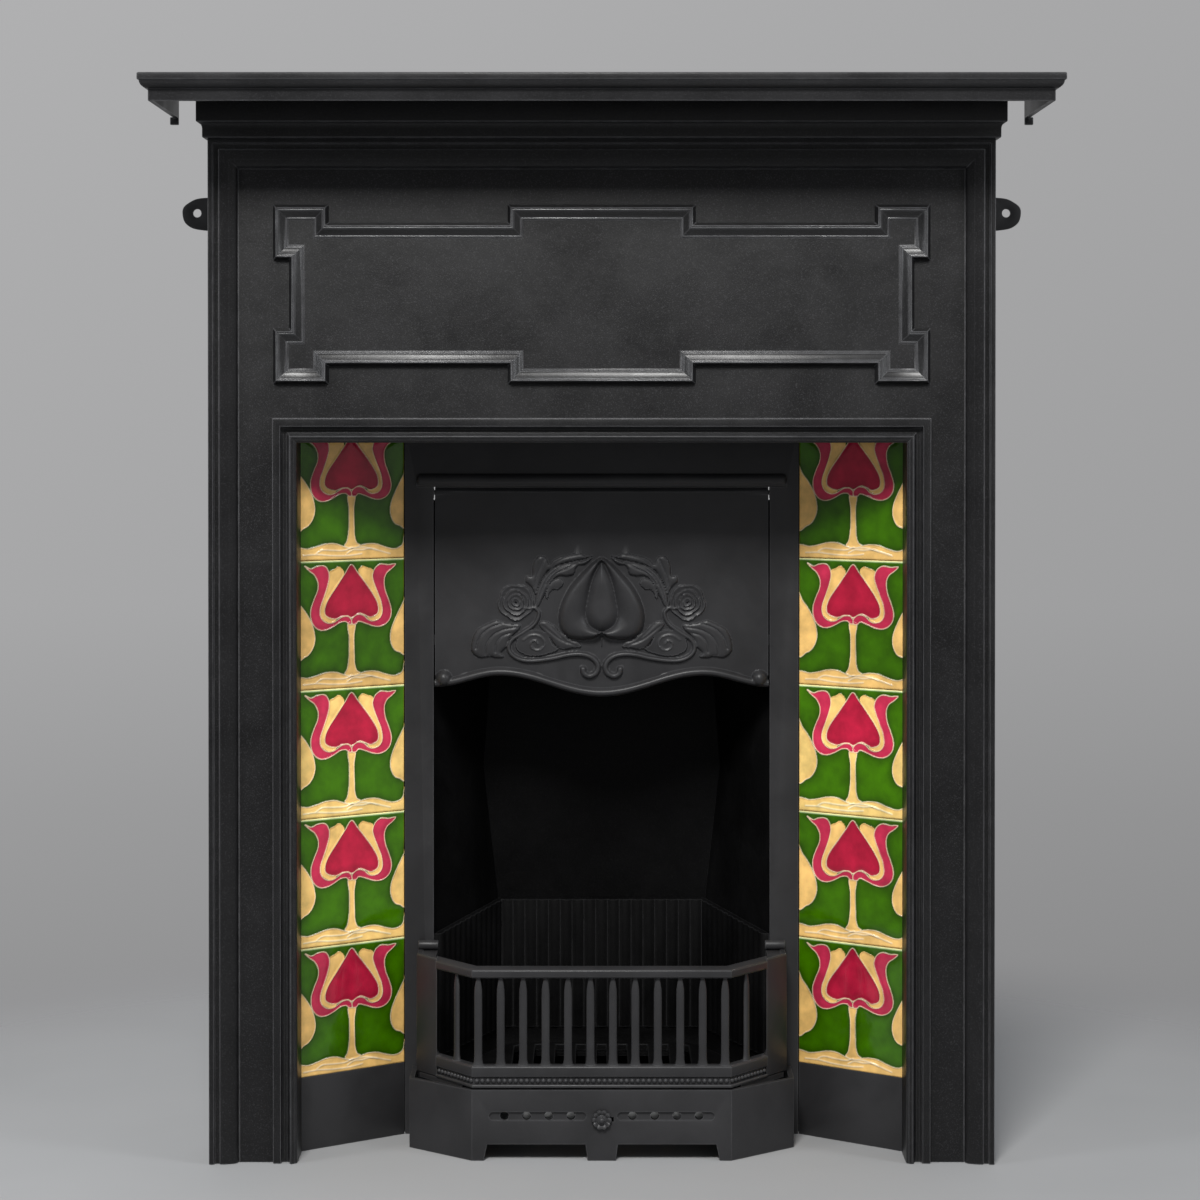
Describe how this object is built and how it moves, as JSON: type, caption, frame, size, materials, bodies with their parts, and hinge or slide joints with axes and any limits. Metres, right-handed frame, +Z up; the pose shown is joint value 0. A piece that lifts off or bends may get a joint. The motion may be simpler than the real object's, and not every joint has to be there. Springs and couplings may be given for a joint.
{
  "type": "cast iron fireplace",
  "caption": "Cast iron combination fireplace with mantel shelf, splayed flower tile panels, tilting smoke hood, fire basket, front bars and ash cover with air damper.",
  "frame": {"origin": "on the floor, at the middle of the object's box in plan", "axes": "+X to the viewer's right along the wall, +Y back into the chimney opening, +Z up; the front faces -Y and the wall plane is at y = -0.01504 m"},
  "size_m": [1.04, 0.47, 1.256],
  "materials": {
    "blackened_iron": "stove-blacked casting, satin, fine sand-cast grain",
    "grate_iron": "stove-blacked casting, a little greyer where fire and hands wear it",
    "bolt_steel": "dull blackened fastener steel",
    "glazed_tile": "deep translucent glazes, green ground with rose and cream flower"
  },
  "bodies": {
    "frame": {"surround": "blackened_iron", "mantel_shelf": "blackened_iron", "shelf_bolts": "bolt_steel", "tile_tray_left": "blackened_iron", "tile_tray_right": "blackened_iron", "tile_left_1": "glazed_tile", "tile_left_2": "glazed_tile", "tile_left_3": "glazed_tile", "tile_left_4": "glazed_tile", "tile_left_5": "glazed_tile", "tile_right_1": "glazed_tile", "tile_right_2": "glazed_tile", "tile_right_3": "glazed_tile", "tile_right_4": "glazed_tile", "tile_right_5": "glazed_tile", "insert_plate": "blackened_iron", "soffit_plate": "blackened_iron", "hood_pins": "bolt_steel", "left_cheek": "grate_iron", "right_cheek": "grate_iron", "fireback": "grate_iron", "throat_plate": "grate_iron", "register_pin": "bolt_steel", "fire_basket": "grate_iron", "tray_bolts": "bolt_steel", "frame_nuts": "bolt_steel", "back_bolts": "bolt_steel"},
    "hood": {"hood": "grate_iron"},
    "register_flap": {"register_flap": "grate_iron"},
    "front_bars": {"front_bars": "grate_iron"},
    "bottom_grate": {"bottom_grate": "grate_iron"},
    "ash_cover": {"ash_cover": "blackened_iron", "slide_guides": "bolt_steel"},
    "damper": {"damper_slide": "grate_iron", "damper_knob": "grate_iron"}
  },
  "joints": [
    {"name": "hood_tilt", "type": "hinge", "parent": "frame", "child": "hood", "pos_m": [0, 0.05004, 0.778], "axis": [-1, 0, 0], "range_deg": [0, 25]},
    {"name": "register_hinge", "type": "hinge", "parent": "frame", "child": "register_flap", "pos_m": [0, 0.17604, 0.775], "axis": [-1, 0, 0], "range_deg": [0, 80]},
    {"name": "bars_lift", "type": "slide", "parent": "frame", "child": "front_bars", "axis": [0, 0, 1], "range_m": [0, 0.04]},
    {"name": "grate_lift", "type": "slide", "parent": "frame", "child": "bottom_grate", "axis": [0, 0, 1], "range_m": [0, 0.06]},
    {"name": "cover_pull", "type": "slide", "parent": "frame", "child": "ash_cover", "axis": [0, -1, 0], "range_m": [0, 0.12]},
    {"name": "damper_travel", "type": "slide", "parent": "ash_cover", "child": "damper", "axis": [1, 0, 0], "range_m": [0, 0.011]}
  ]
}
